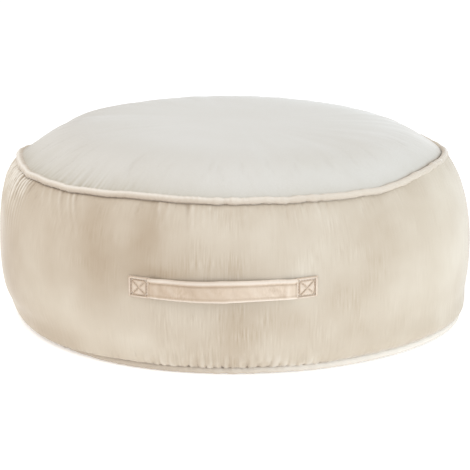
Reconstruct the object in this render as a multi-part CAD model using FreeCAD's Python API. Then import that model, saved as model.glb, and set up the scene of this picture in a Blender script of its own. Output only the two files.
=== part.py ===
"""Round floor cushion: a piped velvet cover with a strap handle and a rear zip, over a filled inner case.

Millimetres, +Z up. The origin is on the vertical axis, at the flat underside. The handle is on the -Y side
and the zip runs round the +Y side. Profiles are drawn as (radius, height) and turned about the Z axis.
"""
import FreeCAD, Part
import math
import os

from FreeCAD import Vector

os.makedirs("parts", exist_ok=True)

# ---- driving dimensions --------------------------------------------------------------------------
GREATEST_R = 305.0            # 24 in across
WIDEST_Z = 96.0               # height of the greatest radius
TOP_SEAM_R = 271.4            # centre of the top piping
TOP_SEAM_Z = 209.0
BOTTOM_SEAM_R = 280.6         # centre of the bottom piping
PIPING_R = 4.25
CROWN_RISE = 38.0             # crown of the top above the seam edge of the top panel
CROWN_FLAT = 218.0            # how far the nearly level middle of the top reaches
CROWN_SHOULDER = 62.0         # width of the top's rounded shoulder
UPPER_REACH = 56.0            # how far the side stays steep above and below its widest place
LOWER_REACH = 46.9
UPPER_LEAN = (16.8, -9.7)     # how the side leaves each piping, as (radius, height)
LOWER_LEAN = (13.5, 2.4)
UNDERSIDE_RISE = 22.0         # width of the underside's rounded rim

VELVET = 1.2                  # cloth thickness
LINER = 0.5
GAP = 0.3                     # air between separate pieces
TOUCH = 0.05                  # clearance between cloths that are sewn together
CORD_R = 2.5                  # cord inside the piping
ALLOWANCE = 13.0              # seam allowance, from the piping's centre
TOP_WRAP = 142.0              # directions, in degrees, from which each cloth wraps its piping
SIDE_TOP_WRAP = 287.0
SIDE_BOTTOM_WRAP = 73.0
BOTTOM_WRAP = 187.0
LAP = 8.0                     # turned-in allowance of an upright side seam
LAP_LOW = 26.0                # heights between which it lies flat
LAP_HIGH = 190.0

REAR_ARC = 150.0              # degrees of the side that are the two zipped rear pieces
ZIP_HALF_SLOT = 5.0           # half of the opening between the two rear pieces
ZIP_HEM = 12.0                # depth of the hem along the opening

STRAP_Z = 108.0               # centre line of the handle
STRAP_WIDTH = 25.4            # 1 in webbing
STRAP_THICK = 4.0
END_THICK = 3.6               # thickness of its sewn-down ends
END_GAP = 2.0                 # from a sewn-down end to the free part
HANDLE_ARC = 54.0             # degrees of the side's front that hold every part of the handle
STRAP_END_IN = 88.0           # distance of each sewn-down end from the middle, inner and outer edge
STRAP_END_OUT = 111.5
STRAP_REACH = 312.0           # distance of the strap's inner face from the axis, at its middle
CORE_WIDTH = 21.6             # webbing inside the strap
CORE_THICK = 1.2
STITCH_INSET = 2.8
STITCH_WIDTH = 0.9
THREAD_RISE = 0.55

TAPE_R = 301.3                # inner face of the zip's tapes
TAPE_THICK = 0.6
TAPE_DEPTH = 15.0             # reach of each tape above and below the zip's centre line
TEETH_IN_R = 300.7
TEETH_OUT_R = 303.1
TEETH_GAP = 0.6               # half of the gap between the two rows of teeth
TEETH_HALF = 3.0
TEETH_START = 18.0            # degrees from +X, turning towards +Y
TEETH_END = 162.0
SLIDER_AT = 19.5
SLIDER_HALF = 0.95            # half of the slider's length, degrees
SLIDER_PLATE = 1.1
PULL_LENGTH = 30.0

# ---- curves of the cover's profile ---------------------------------------------------------------
TOP_EDGE = (TOP_SEAM_R - 0.5 * PIPING_R, TOP_SEAM_Z + 0.6 * PIPING_R)
UPPER_EDGE = (TOP_SEAM_R + 0.3 * PIPING_R, TOP_SEAM_Z - PIPING_R)
LOWER_EDGE = (BOTTOM_SEAM_R + 0.3 * PIPING_R, 2 * PIPING_R)


class Profile:
    """Cubic curve with four (radius, height) control points. inside is 1 if the cushion's inside lies to the
    left of the way that the curve runs, and -1 if it lies to the right."""

    def __init__(self, inside, *controls):
        self.inside = inside
        self.controls = controls

    def place(self, t):
        weights = ((1 - t) ** 3, 3 * t * (1 - t) ** 2, 3 * t * t * (1 - t), t ** 3)
        return tuple(sum(w * p[k] for w, p in zip(weights, self.controls)) for k in (0, 1))

    def way(self, t):
        """Unit direction."""
        weights = ((1 - t) ** 2, 2 * t * (1 - t), t * t)
        steps = [(b[0] - a[0], b[1] - a[1]) for a, b in zip(self.controls, self.controls[1:])]
        r, z = (sum(w * s[k] for w, s in zip(weights, steps)) for k in (0, 1))
        length = math.hypot(r, z)
        return r / length, z / length

    def point(self, t, depth=0.0):
        """Point behind the curve, at a depth that may be a function of the height."""
        r, z = self.place(t)
        way_r, way_z = self.way(t)
        inwards = self.inside * (depth(z) if callable(depth) else depth)
        return r - way_z * inwards, z + way_r * inwards

    def line(self, depth, start=0.0, end=1.0, count=22):
        return [self.point(start + (end - start) * i / count, depth) for i in range(count + 1)]

    def share(self, height):
        """Parameter at which the curve reaches a height."""
        rising = self.controls[-1][1] > self.controls[0][1]
        low, high = 0.0, 1.0
        for _ in range(50):
            middle = 0.5 * (low + high)
            if (self.place(middle)[1] < height) == rising:
                low = middle
            else:
                high = middle
        return low


TOP = Profile(
    -1,
    (0.0, TOP_EDGE[1] + CROWN_RISE),
    (CROWN_FLAT, TOP_EDGE[1] + CROWN_RISE),
    (TOP_EDGE[0] - CROWN_SHOULDER, TOP_EDGE[1] + CROWN_RISE + 3.0),
    TOP_EDGE,
)
UPPER = Profile(
    1,
    (GREATEST_R, WIDEST_Z),
    (GREATEST_R, WIDEST_Z + UPPER_REACH),
    (UPPER_EDGE[0] + UPPER_LEAN[0], UPPER_EDGE[1] + UPPER_LEAN[1]),
    UPPER_EDGE,
)
LOWER = Profile(
    -1,
    (GREATEST_R, WIDEST_Z),
    (GREATEST_R, WIDEST_Z - LOWER_REACH),
    (LOWER_EDGE[0] + LOWER_LEAN[0], LOWER_EDGE[1] + LOWER_LEAN[1]),
    LOWER_EDGE,
)


def side_line(depth, z_low, z_high, count=10):
    """Points up the side between two heights, at a depth behind its face."""
    points = []
    for i in range(count + 1):
        z = z_low + (z_high - z_low) * i / count
        curve = UPPER if z >= WIDEST_Z else LOWER
        points.append(curve.point(curve.share(z), depth))
    return points


# ---- making solids -------------------------------------------------------------------------------
def at(point):
    return Vector(point[0], 0, point[1])


def smooth_edge(points):
    spline = Part.BSplineCurve()
    spline.interpolate([at(p) for p in points])
    return spline.toShape()


def strip(outer, inner):
    """Flat face between two smooth lines that run the same way."""
    edges = [
        smooth_edge(outer),
        Part.makeLine(at(outer[-1]), at(inner[-1])),
        smooth_edge(inner[::-1]),
        Part.makeLine(at(inner[0]), at(outer[0])),
    ]
    return Part.Face(Part.Wire(Part.__sortEdges__(edges)))


def polygon(points):
    return Part.Face(Part.makePolygon([at(p) for p in points + points[:1]]))


def joined(faces):
    """One flat face made from overlapping flat faces, which are first turned to face the same way."""
    alike = [face if face.normalAt(0, 0).y < 0 else face.reversed() for face in faces]
    whole = alike[0].multiFuse(alike[1:]).removeSplitter()
    assert len(whole.Faces) == 1, "the faces don't overlap"
    return whole.Faces[0]


def turned(face, start=0.0, sweep=360.0):
    """Solid made by turning a flat face about the Z axis, from one direction in degrees from +X."""
    face = face.copy()
    face.rotate(Vector(0, 0, 0), Vector(0, 0, 1), start)
    return face.revolve(Vector(0, 0, 0), Vector(0, 0, 1), sweep)


def block(r_low, r_high, z_low, z_high, start, sweep):
    """Part of a ring with a rectangular section."""
    corners = [(r_low, z_low), (r_high, z_low), (r_high, z_high), (r_low, z_high)]
    return turned(polygon(corners), start, sweep)


def fused(shapes):
    return shapes[0].multiFuse(shapes[1:]).removeSplitter()


def save(name, shape):
    shape.exportStep(f"parts/{name}.step")


# ---- seams: a corded piping between two turned-in allowances -------------------------------------
class Seam:
    """A piped seam. Its allowances run inwards from the piping's centre, in one direction in degrees."""

    half_fold = 1.0

    def __init__(self, radius, height, inwards):
        self.centre = (radius, height)
        self.inwards = inwards

    def point(self, distance, angle):
        turn = math.radians(angle)
        return self.centre[0] + distance * math.cos(turn), self.centre[1] + distance * math.sin(turn)

    def along(self, distance, across):
        """Point at a distance along the allowance and at a distance to its left."""
        turn = math.radians(self.inwards)
        r = self.centre[0] + distance * math.cos(turn) - across * math.sin(turn)
        z = self.centre[1] + distance * math.sin(turn) + across * math.cos(turn)
        return r, z

    def disc(self, radius):
        circle = Part.Circle(at(self.centre), Vector(0, -1, 0), radius)
        return Part.Face(Part.Wire(circle.toShape()))

    def bar(self, start, end, across_low, across_high):
        corners = ((start, across_low), (end, across_low), (end, across_high), (start, across_high))
        return polygon([self.along(*corner) for corner in corners])

    def piping(self):
        rod = joined([self.disc(PIPING_R), self.bar(0, ALLOWANCE, -self.half_fold, self.half_fold)])
        return turned(rod.cut(self.disc(CORD_R + GAP)).Faces[0])

    def cord(self):
        return turned(self.disc(CORD_R))

    def hug(self, angle, side):
        """Cloth that follows the piping from one angle to the allowance, then runs along the allowance."""
        near, far = PIPING_R + TOUCH, PIPING_R + TOUCH + VELVET
        inner = self.half_fold + TOUCH
        bend = math.degrees(math.asin(inner / near))
        stop = self.inwards + side * bend
        middle = 0.5 * (angle + stop)
        ring = [
            Part.Arc(*[at(self.point(near, a)) for a in (angle, middle, stop)]).toShape(),
            Part.makeLine(at(self.point(near, stop)), at(self.point(far, stop))),
            Part.Arc(*[at(self.point(far, a)) for a in (stop, middle, angle)]).toShape(),
            Part.makeLine(at(self.point(far, angle)), at(self.point(near, angle))),
        ]
        wrap = Part.Face(Part.Wire(Part.__sortEdges__(ring)))
        low, high = sorted((side * inner, side * (inner + VELVET)))
        leg = self.bar(PIPING_R + 0.02, ALLOWANCE, low, high)
        return [wrap, leg]

    def clear(self, face):
        """A face with the piping's room cut from it."""
        return face.cut(self.disc(PIPING_R + TOUCH)).Faces[0]


TOP_SEAM = Seam(TOP_SEAM_R, TOP_SEAM_Z, 225.0)
BOTTOM_SEAM = Seam(BOTTOM_SEAM_R, PIPING_R, 135.0)


# ---- cover ---------------------------------------------------------------------------------------
def top_panel():
    shell = TOP_SEAM.clear(strip(TOP.line(0), TOP.line(VELVET)))
    return turned(joined([shell] + TOP_SEAM.hug(TOP_WRAP, -1)))


def bottom_panel():
    flat_r = BOTTOM_SEAM_R - UNDERSIDE_RISE
    edge = BOTTOM_SEAM.point(PIPING_R - 0.2, 196.0)
    rise = Profile(1, (flat_r, 0.0), (flat_r + 8.0, 0.0), (edge[0] - 6.0, edge[1] - 1.2), edge)
    flat = polygon([(0.0, 0.0), (flat_r, 0.0), (flat_r, VELVET), (0.0, VELVET)])
    rim = BOTTOM_SEAM.clear(strip(rise.line(0), rise.line(VELVET)))
    return turned(joined([flat, rim] + BOTTOM_SEAM.hug(BOTTOM_WRAP, 1)))


def hem(z_low, z_high):
    return strip(side_line(VELVET - 0.1, z_low, z_high), side_line(2 * VELVET, z_low, z_high))


def front_band_face():
    """Section of the side between its two piped seams."""
    lines = [LOWER.line(depth, 1.0, 0.0)[:-1] + UPPER.line(depth) for depth in (0, VELVET)]
    wraps = TOP_SEAM.hug(SIDE_TOP_WRAP, 1) + BOTTOM_SEAM.hug(SIDE_BOTTOM_WRAP, -1)
    return joined([strip(*lines)] + wraps)


def upper_band_face(z_low):
    """Section of the side between a hemmed edge and the top seam."""
    share = UPPER.share(z_low)
    shell = strip(UPPER.line(0, share), UPPER.line(VELVET, share))
    return joined([shell, hem(z_low, z_low + ZIP_HEM)] + TOP_SEAM.hug(SIDE_TOP_WRAP, 1))


def lower_band_face(z_high):
    """Section of the side between the bottom seam and a hemmed edge."""
    share = LOWER.share(z_high)
    shell = strip(LOWER.line(0, 1.0, share), LOWER.line(VELVET, 1.0, share))
    return joined([shell, hem(z_high - ZIP_HEM, z_high)] + BOTTOM_SEAM.hug(SIDE_BOTTOM_WRAP, -1))


def band(face, start, sweep, lap_low, lap_high):
    """One piece of the side, with its two upright edges turned in as flat laps."""
    trim = math.degrees(0.5 * GAP / GREATEST_R)
    lap = math.degrees(LAP / GREATEST_R)
    lap_starts = (start + trim, start + sweep - trim - lap)
    laps = [turned(hem(lap_low, lap_high), lap_start, lap) for lap_start in lap_starts]
    return fused([turned(face, start + trim, sweep - 2 * trim)] + laps)


def side_bands():
    start, front_arc = 90.0 - 0.5 * REAR_ARC, 360.0 - REAR_ARC
    zip_low, zip_high = WIDEST_Z - ZIP_HALF_SLOT, WIDEST_Z + ZIP_HALF_SLOT
    hem_low, hem_high = zip_low - ZIP_HEM - 1, zip_high + ZIP_HEM + 1
    yield "side_band_front", band(front_band_face(), start + REAR_ARC, front_arc, LAP_LOW, LAP_HIGH)
    yield "rear_band_upper", band(upper_band_face(zip_high), start, REAR_ARC, hem_high, LAP_HIGH)
    yield "rear_band_lower", band(lower_band_face(zip_low), start, REAR_ARC, LAP_LOW, hem_low)


# ---- handle --------------------------------------------------------------------------------------
def front_skin(depth_out, depth_in, margin=6.0):
    """Layer that lies along the front of the side, around the handle."""
    low, high = STRAP_Z - 0.5 * STRAP_WIDTH - margin, STRAP_Z + 0.5 * STRAP_WIDTH + margin
    face = strip(side_line(-depth_out, low, high), side_line(-depth_in, low, high))
    return turned(face, -90.0 - 0.5 * HANDLE_ARC, HANDLE_ARC)


def upright_box(x_low, x_high, z_low, z_high):
    return Part.makeBox(x_high - x_low, 120.0, z_high - z_low, Vector(x_low, -340.0, z_low))


def bar_between(a, b, width):
    """Upright bar through the cushion's front, drawn between two (x, z) points."""
    length = math.hypot(b[0] - a[0], b[1] - a[1])
    bar = Part.makeBox(length + width, 120.0, width, Vector(-0.5 * width, -340.0, -0.5 * width))
    bar.rotate(Vector(0, 0, 0), Vector(0, 1, 0), -math.degrees(math.atan2(b[1] - a[1], b[0] - a[0])))
    bar.translate(Vector(a[0], 0, a[1]))
    return bar


def strap_end(side):
    x_low, x_high = sorted((side * STRAP_END_IN, side * STRAP_END_OUT))
    tile = upright_box(x_low, x_high, STRAP_Z - 0.5 * STRAP_WIDTH, STRAP_Z + 0.5 * STRAP_WIDTH)
    return front_skin(GAP + END_THICK, GAP).common(tile)


def end_stitching(side):
    """A sewn square with a cross in it."""
    near, far = STRAP_END_IN + STITCH_INSET, STRAP_END_OUT - STITCH_INSET
    x_low, x_high = sorted((side * near, side * far))
    z_low = STRAP_Z - 0.5 * STRAP_WIDTH + STITCH_INSET
    z_high = STRAP_Z + 0.5 * STRAP_WIDTH - STITCH_INSET
    corners = [(x_low, z_low), (x_high, z_low), (x_high, z_high), (x_low, z_high)]
    pairs = list(zip(corners, corners[1:] + corners[:1]))
    pairs += [(corners[0], corners[2]), (corners[1], corners[3])]
    pattern = fused([bar_between(a, b, STITCH_WIDTH) for a, b in pairs])
    surface = GAP + END_THICK + TOUCH
    return front_skin(surface + THREAD_RISE, surface).common(pattern)


def end_patch(side):
    """Stiff patch behind the side, under a sewn-down end."""
    margin, thick = 3.5, 0.8
    half_height = 0.5 * STRAP_WIDTH + margin
    x_low, x_high = sorted((side * (STRAP_END_IN - margin), side * (STRAP_END_OUT + margin)))
    tile = upright_box(x_low, x_high, STRAP_Z - half_height, STRAP_Z + half_height)
    return front_skin(-VELVET - GAP, -VELVET - GAP - thick).common(tile)


def strap_span():
    """The free middle of the strap: a flat velvet tube that bows away from the side, and its webbing core."""
    end_x = STRAP_END_IN - END_GAP
    end_reach = math.sqrt((GREATEST_R + 0.4) ** 2 - end_x ** 2)
    bow = STRAP_REACH - end_reach
    bend_r = (end_x ** 2 + bow ** 2) / (2 * bow)
    centre = Vector(0, -(STRAP_REACH - bend_r), 0)
    half_turn = math.degrees(math.asin(end_x / bend_r))
    wall = 0.5 * (STRAP_THICK - CORE_THICK) - GAP

    def rolled(r_low, r_high, half_width, trim=0.0):
        low, high = STRAP_Z - half_width, STRAP_Z + half_width
        section = polygon([(r_low, low), (r_high, low), (r_high, high), (r_low, high)])
        section.rotate(Vector(0, 0, 0), Vector(0, 0, 1), -90.0 - half_turn + trim)
        section.translate(centre)
        return section.revolve(centre, Vector(0, 0, 1), 2 * (half_turn - trim))

    outside = rolled(bend_r, bend_r + STRAP_THICK, 0.5 * STRAP_WIDTH)
    hollow = rolled(bend_r + wall, bend_r + STRAP_THICK - wall, 0.5 * CORE_WIDTH + GAP)
    core = rolled(bend_r + wall + GAP, bend_r + STRAP_THICK - wall - GAP, 0.5 * CORE_WIDTH, 0.05)
    long_edges = [e for e in outside.Edges if e.Length > end_x]
    return outside.makeFillet(0.9, long_edges).cut(hollow), core


# ---- zip -----------------------------------------------------------------------------------------
def zip_halves():
    """Tape and teeth above and below the centre line."""
    trim = 1.0
    tape_start, tape_sweep = 90.0 - 0.5 * REAR_ARC + trim, REAR_ARC - 2 * trim
    teeth_sweep = TEETH_END - TEETH_START
    for side, word in ((1, "upper"), (-1, "lower")):
        low, high = sorted((WIDEST_Z + side * 2 * TEETH_GAP, WIDEST_Z + side * TAPE_DEPTH))
        tape = block(TAPE_R, TAPE_R + TAPE_THICK, low, high, tape_start, tape_sweep)
        low, high = sorted((WIDEST_Z + side * TEETH_GAP, WIDEST_Z + side * TEETH_HALF))
        row = block(TEETH_IN_R, TEETH_OUT_R, low, high, TEETH_START, teeth_sweep)
        row = row.cut(tape_room(low - 9, high + 9, TEETH_START - 1, teeth_sweep + 2))
        low, high = sorted((WIDEST_Z + side * TEETH_GAP, WIDEST_Z + side * 1.1))
        bead = block(TEETH_IN_R, TEETH_OUT_R, low, high, TEETH_START, teeth_sweep)
        yield f"zip_tape_{word}", tape
        yield f"zip_teeth_{word}", fused([row, bead])


def tape_room(z_low, z_high, start, sweep):
    """Room for a tape inside something that grips it."""
    return block(TAPE_R - TOUCH, TAPE_R + TAPE_THICK + TOUCH, z_low, z_high, start, sweep)


def zip_stop(at_angle):
    """Small clip across both tapes at one end of the teeth."""
    wide, overhang = 0.4, 0.1
    low, high = WIDEST_Z - TEETH_HALF, WIDEST_Z + TEETH_HALF
    clip = block(TEETH_IN_R - overhang, TEETH_OUT_R + overhang, low, high, at_angle, wide)
    for side in (1, -1):
        low, high = sorted((WIDEST_Z + side * (2 * TEETH_GAP - TOUCH), WIDEST_Z + side * 9))
        clip = clip.cut(tape_room(low, high, at_angle - 1, wide + 2))
    return clip


def zip_slider():
    """Two plates that ride on both faces of the teeth, a wedge between the rows and an arch for the pull."""
    half_z = TEETH_HALF + 1.3
    start, sweep = SLIDER_AT - SLIDER_HALF, 2 * SLIDER_HALF
    back_out = TEETH_IN_R - GAP
    front_in = TEETH_OUT_R + GAP
    front_out = front_in + SLIDER_PLATE
    arch_in, arch_out = front_out + 2.1, front_out + 2.9
    pieces = [
        block(back_out - SLIDER_PLATE, back_out, WIDEST_Z - half_z, WIDEST_Z + half_z, start, sweep),
        block(front_in, front_out, WIDEST_Z - half_z, WIDEST_Z + half_z, start, sweep),
        block(back_out - 0.1, front_in + 0.1, WIDEST_Z - 0.3, WIDEST_Z + 0.3, SLIDER_AT - 0.3, 0.6),
        block(arch_in, arch_out, WIDEST_Z - 1.0, WIDEST_Z + 1.0, SLIDER_AT - 0.62, 1.24),
    ]
    for side in (1, -1):
        low, high = sorted((WIDEST_Z + side * (half_z - 1.0), WIDEST_Z + side * half_z))
        pieces.append(block(back_out - 0.1, TAPE_R - GAP, low, high, start, sweep))
        pieces.append(block(TAPE_R + TAPE_THICK + GAP, front_in + 0.1, low, high, start, sweep))
        post = SLIDER_AT + (0.42 if side > 0 else -0.62)
        pieces.append(block(front_out - 0.1, arch_in + 0.1, WIDEST_Z - 1.0, WIDEST_Z + 1.0, post, 0.2))
    return fused(pieces)


def zip_pull():
    """Flat tab hung on a cross pin that passes under the slider's arch. It lies along the zip."""
    pin_r = TEETH_OUT_R + GAP + SLIDER_PLATE + 1.05
    pin_half = 3.2
    half_thick = 0.55
    arm = 1.6
    pin = Part.makeCylinder(0.65, 2 * pin_half, Vector(pin_r, 0, WIDEST_Z - pin_half))
    pieces = [pin]
    for low in (WIDEST_Z - pin_half, WIDEST_Z + pin_half - arm):
        pieces.append(Part.makeBox(2 * half_thick, 7.0, arm, Vector(pin_r - half_thick, 0, low)))
    corner = Vector(pin_r - half_thick, 6.0, WIDEST_Z - 4.0)
    tab = Part.makeBox(2 * half_thick, PULL_LENGTH - 6.0, 8.0, corner)
    far_corners = [e for e in tab.Edges
                   if e.CenterOfMass.y > PULL_LENGTH - 0.1 and abs(e.Vertexes[0].Z - e.Vertexes[-1].Z) < 0.01
                   and abs(e.Vertexes[0].X - e.Vertexes[-1].X) > 0.5]
    pieces.append(tab.makeFillet(3.0, far_corners))
    pull = fused(pieces)
    pull.rotate(Vector(0, 0, 0), Vector(0, 0, 1), SLIDER_AT)
    return pull


# ---- inner case and filling ----------------------------------------------------------------------
def eased(start, start_way, end, end_way, count=10):
    """Points between two places on a smooth line that leaves and arrives in given directions."""
    reach = 0.42 * math.hypot(end[0] - start[0], end[1] - start[1])
    bend = Profile(
        1,
        start,
        (start[0] + reach * start_way[0], start[1] + reach * start_way[1]),
        (end[0] - reach * end_way[0], end[1] - reach * end_way[1]),
        end,
    )
    return bend.line(0, 1 / count, 1 - 1 / count, count - 2)


def backwards(way):
    return -way[0], -way[1]


def case_depth(z):
    """Depth of the inner case behind the side: deepest at the zip, to clear it."""
    return 3.2 + 3.2 * math.exp(-((z - WIDEST_Z) / 30.0) ** 2)


def case_lines():
    """Outer lines of the case's top, side and bottom, from the crown to the centre of the underside. The seam
    allowances push a groove into the case."""
    leave, rejoin = 0.80, 0.72
    tuck = ALLOWANCE + 1.6
    down_out = (math.sqrt(0.5), -math.sqrt(0.5))
    down_in = (-math.sqrt(0.5), -math.sqrt(0.5))
    top_tuck = TOP_SEAM.along(tuck, 0)
    side_start = TOP_SEAM.along(tuck, GAP)
    side_end = BOTTOM_SEAM.along(tuck, -GAP)
    bottom_tuck = BOTTOM_SEAM.along(tuck, 0)

    crown = TOP.line(3.2, 0.0, leave)
    top_line = crown + eased(crown[-1], TOP.way(leave), top_tuck, down_out) + [top_tuck]

    upper = UPPER.line(case_depth, rejoin, 0.0)
    lower = LOWER.line(case_depth, 0.0, rejoin)
    side = [side_start] + eased(side_start, down_out, upper[0], backwards(UPPER.way(rejoin))) + upper
    side += lower[1:] + eased(lower[-1], LOWER.way(rejoin), side_end, down_in) + [side_end]

    flat_r = BOTTOM_SEAM_R - 44.0
    flat = [(flat_r * (1 - i / 6), VELVET + GAP) for i in range(7)]
    bottom_line = [bottom_tuck] + eased(bottom_tuck, down_in, flat[0], (-1, 0)) + flat
    return top_line, side, bottom_line


def moved_in(points, depth):
    """A line with the inside on its right, moved inwards. Points on the axis stay on it."""
    moved = []
    for i, (r, z) in enumerate(points):
        before, after = points[max(i - 1, 0)], points[min(i + 1, len(points) - 1)]
        way_r, way_z = after[0] - before[0], after[1] - before[1]
        length = math.hypot(way_r, way_z)
        new_r = r + depth * way_z / length if r > 0 else 0.0
        moved.append((new_r, z - depth * way_r / length))
    return moved


def inner_case():
    for word, line in zip(("top", "side", "bottom"), case_lines()):
        yield f"inner_case_{word}", turned(strip(line, moved_in(line, LINER)))


def filling():
    top, side, bottom = (moved_in(line, LINER + GAP) for line in case_lines())
    side[0], side[-1] = top[-1], bottom[0]
    edges = [smooth_edge(line) for line in (top, side, bottom)]
    edges.append(Part.makeLine(at(bottom[-1]), at(top[0])))
    return turned(Part.Face(Part.Wire(Part.__sortEdges__(edges))))


# ---- the whole cushion ---------------------------------------------------------------------------
def parts():
    yield "top_panel", top_panel()
    yield "bottom_panel", bottom_panel()
    yield from side_bands()
    for word, seam in (("top", TOP_SEAM), ("bottom", BOTTOM_SEAM)):
        yield f"{word}_piping", seam.piping()
        yield f"{word}_piping_cord", seam.cord()
    span, core = strap_span()
    yield "handle_strap", span
    yield "handle_webbing_core", core
    for word, side in (("left", -1), ("right", 1)):
        yield f"handle_end_{word}", strap_end(side)
        yield f"handle_stitching_{word}", end_stitching(side)
        yield f"handle_backing_patch_{word}", end_patch(side)
    yield from zip_halves()
    yield "zip_stop_closed", zip_stop(TEETH_START - 0.6)
    yield "zip_stop_open", zip_stop(TEETH_END + 0.2)
    yield "zip_slider", zip_slider()
    yield "zip_pull", zip_pull()
    yield from inner_case()
    yield "filling", filling()


for node, solid in parts():
    save(node, solid)
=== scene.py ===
import math

import bpy
import numpy as np
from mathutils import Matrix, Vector


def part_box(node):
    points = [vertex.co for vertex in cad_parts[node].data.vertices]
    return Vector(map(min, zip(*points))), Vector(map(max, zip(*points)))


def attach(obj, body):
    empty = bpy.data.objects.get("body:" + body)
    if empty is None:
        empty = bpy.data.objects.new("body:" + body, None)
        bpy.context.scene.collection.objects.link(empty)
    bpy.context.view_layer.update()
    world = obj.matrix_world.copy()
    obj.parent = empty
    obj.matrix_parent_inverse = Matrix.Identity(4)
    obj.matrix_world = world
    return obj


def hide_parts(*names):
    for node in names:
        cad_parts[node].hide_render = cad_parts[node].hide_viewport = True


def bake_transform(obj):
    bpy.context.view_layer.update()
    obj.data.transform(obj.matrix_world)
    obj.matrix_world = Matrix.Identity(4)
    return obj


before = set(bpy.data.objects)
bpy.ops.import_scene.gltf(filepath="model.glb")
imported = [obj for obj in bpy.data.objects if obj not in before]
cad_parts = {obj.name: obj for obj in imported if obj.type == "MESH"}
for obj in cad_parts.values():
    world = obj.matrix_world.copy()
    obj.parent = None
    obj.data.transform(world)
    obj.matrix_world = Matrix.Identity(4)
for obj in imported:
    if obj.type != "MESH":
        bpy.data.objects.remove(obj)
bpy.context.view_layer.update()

MM = 0.001
FLOOR_GAP = 0.05         # nothing comes nearer to the floor than this
rng = np.random.default_rng(24)


# ---- sizes, from the CAD nodes where they hold them ----
def low_high(node):
    """Lowest and highest corners of a CAD node, in millimetres."""
    low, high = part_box(node)
    return np.array(low) / MM, np.array(high) / MM


VELVET = 1.2                        # thickness of the cloth
PIPING_R = 4.25
GREATEST_R = low_high("side_band_front")[1][0]
WIDEST_Z = 96.0
TOP_SEAM_R = low_high("top_piping")[1][0] - PIPING_R
TOP_SEAM_Z = low_high("top_piping")[1][2] - PIPING_R
BOTTOM_SEAM_R = low_high("bottom_piping")[1][0] - PIPING_R
CROWN_Z = low_high("top_panel")[1][2]
REAR_ARC = 150.0                    # how far the zip's two side pieces reach round the rear
ZIP_SLOT = (WIDEST_Z - 5, WIDEST_Z + 5)
STRAP_LOW, STRAP_HIGH = low_high("handle_strap")[0][2], low_high("handle_strap")[1][2]
STRAP_Z = 0.5 * (STRAP_LOW + STRAP_HIGH)
STRAP_WIDTH = STRAP_HIGH - STRAP_LOW
STRAP_THICK = 4.0
STRAP_REACH = -low_high("handle_strap")[0][1] - STRAP_THICK
# along X, where the right-hand sewn end of the strap starts and stops: a little past its stitching
END_IN = low_high("handle_stitching_right")[0][0] - 4.5
END_OUT = low_high("handle_stitching_right")[1][0] + 2.0
END_MIDDLE = 0.5 * (END_IN + END_OUT)

AROUND = 1440    # faces round the cushion
CLOTH_COLUMNS = 432                 # and round the simulated cloth


# ---- small tools ----
def bezier(controls, count=60):
    """Points of a cubic curve."""
    t = np.linspace(0, 1, count)[:, None]
    a, b, c, d = (np.array(p, float) for p in controls)
    return (1 - t) ** 3 * a + 3 * t * (1 - t) ** 2 * b + 3 * t * t * (1 - t) * c + t ** 3 * d


def smoothstep(x, low=0.0, high=1.0):
    """Smooth step from 0 at low to 1 at high."""
    t = np.clip((x - low) / (high - low), 0, 1)
    return t * t * (3 - 2 * t)


def hill(x, middle, width):
    """Smooth hill of unit height."""
    return np.exp(-((x - middle) / width) ** 2)


def turn_from(angle, middle):
    """How far a direction is turned from another, from -180 to 180 degrees."""
    return (angle - middle + 180) % 360 - 180


def directions(count):
    """Evenly spaced directions round the cushion."""
    return np.arange(count) * 360.0 / count


def blurred(values, width):
    """Values at evenly spaced directions, blurred over a width in degrees."""
    turn = directions(values.shape[-1])
    kernel = np.exp(-0.5 * (np.minimum(turn, 360 - turn) / width) ** 2)
    return np.real(np.fft.ifft(np.fft.fft(values) * np.fft.fft(kernel / kernel.sum())))


def around(pairs, soften=5.0):
    """Function of the direction that passes smoothly near a few (direction, value) pairs."""
    grid = directions(720)
    angles, values = zip(*sorted(pairs))
    smooth = blurred(np.interp(grid, angles, values, period=360), soften)
    return lambda angle: np.interp(np.asarray(angle) % 360, grid, smooth, period=360)


def waves(wavelength, spread=0.25, count=20, slant=0.0):
    """Irregular waves of unit strength round the cushion: a function of direction and of distance from a
    seam."""
    mean = 2 * math.pi * GREATEST_R / wavelength
    turns = np.round(mean * rng.uniform(1 - spread, 1 + spread, count))
    phases = rng.uniform(0, 2 * math.pi, count)
    slants = rng.normal(0, 1, count) * slant

    def height(angle, distance):
        total = 0.0
        for n, phase, lean in zip(turns, phases, slants):
            total = total + np.cos(np.radians(angle) * n + phase + lean * distance)
        return total * math.sqrt(2 / count)

    return height


def lobes(wave):
    """Soft rounded lobes with narrow creases between them."""
    size = np.abs(wave)
    return size / (size + 0.35) * 1.35 - 0.62


def new_object(name, vertices, faces, smooth=True, on_floor=False):
    """Mesh object from vertices in millimetres. A piece that lies on the floor is pressed flat by it."""
    if on_floor:
        vertices = np.array(vertices)
        vertices[:, 2] = np.maximum(vertices[:, 2], FLOOR_GAP)
    mesh = bpy.data.meshes.new(name)
    mesh.from_pydata((np.asarray(vertices) * MM).tolist(), [], faces)
    mesh.update()
    obj = bpy.data.objects.new(name, mesh)
    bpy.context.scene.collection.objects.link(obj)
    if smooth:
        mesh.polygons.foreach_set("use_smooth", [True] * len(mesh.polygons))
    return obj


def grid_faces(rows, columns, closed_rows=False, closed_columns=False, first=0):
    """Quads between rows of points."""
    faces = []
    for i in range(rows if closed_rows else rows - 1):
        for j in range(columns if closed_columns else columns - 1):
            a = first + i * columns + j
            b = first + i * columns + (j + 1) % columns
            c = first + ((i + 1) % rows) * columns + (j + 1) % columns
            d = first + ((i + 1) % rows) * columns + j
            faces.append((a, b, c, d))
    return faces


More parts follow.
